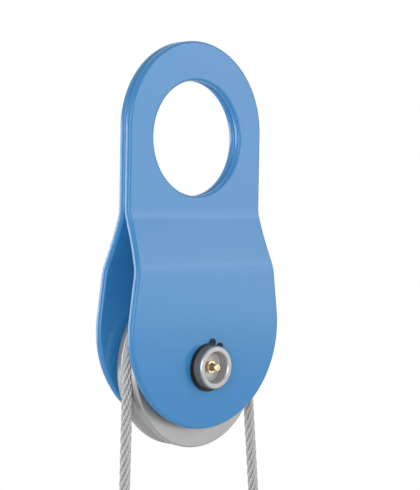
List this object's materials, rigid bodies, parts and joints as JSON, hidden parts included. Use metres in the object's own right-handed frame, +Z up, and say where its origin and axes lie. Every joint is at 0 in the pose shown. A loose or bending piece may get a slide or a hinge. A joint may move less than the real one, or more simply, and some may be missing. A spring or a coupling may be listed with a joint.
{
  "type": "snatch block",
  "caption": "Snatch block with joggled cheek plates joined in a large eye, a grooved sheave on a greased hollow axle, and a wire rope that ends in thimble eyes.",
  "frame": {"origin": "centre of the eye that the shackle goes through, on the plane between the two cheeks", "axes": "+Z up from the axle to the eye, +Y along the eye's bore and the axle, away from the grease nipple, +X to the right seen from the grease nipple's side"},
  "size_m": [0.1931, 0.068, 0.4962],
  "materials": {
    "blue_paint": "semi-gloss enamel paint",
    "axle_steel": "turned steel, blackened outside and bright on its end",
    "circlip_steel": "black phosphated spring steel",
    "sheave_steel": "turned and zinc plated steel",
    "bronze": "machined bronze",
    "nipple_brass": "turned brass",
    "valve_steel": "bright spring steel",
    "rope_wire": "galvanised wire",
    "ferrule_aluminium": "pressed, satin",
    "thimble_steel": "galvanised sheet steel"
  },
  "bodies": {
    "rear_side": {"rear_cheek": "blue_paint", "axle": "axle_steel", "front_circlip": "circlip_steel", "rear_circlip": "circlip_steel", "front_washer": "bronze", "rear_washer": "bronze", "grease_nipple": "nipple_brass", "nipple_spring": "valve_steel", "wire_rope": "rope_wire", "left_ferrule": "ferrule_aluminium", "right_ferrule": "ferrule_aluminium", "left_thimble": "thimble_steel", "right_thimble": "thimble_steel"},
    "front_side": {"front_cheek": "blue_paint"},
    "wheel": {"sheave": "sheave_steel", "sheave_bush": "bronze"},
    "valve_ball": {"nipple_ball": "valve_steel"}
  },
  "joints": [
    {"name": "front_cheek_swing", "type": "hinge", "parent": "rear_side", "child": "front_side", "pos_m": [0, 0, -0.185], "axis": [0, 1, 0], "range_deg": [-105, 105]},
    {"name": "sheave_spin", "type": "hinge", "parent": "rear_side", "child": "wheel", "pos_m": [0, 0, -0.185], "axis": [0, 1, 0], "continuous": true},
    {"name": "nipple_valve", "type": "slide", "parent": "rear_side", "child": "valve_ball", "axis": [0, 1, 0], "range_m": [0, 0.001], "stiffness_N_per_m": 400, "springref_m": -0.0015, "deforming": ["nipple_spring"]}
  ]
}
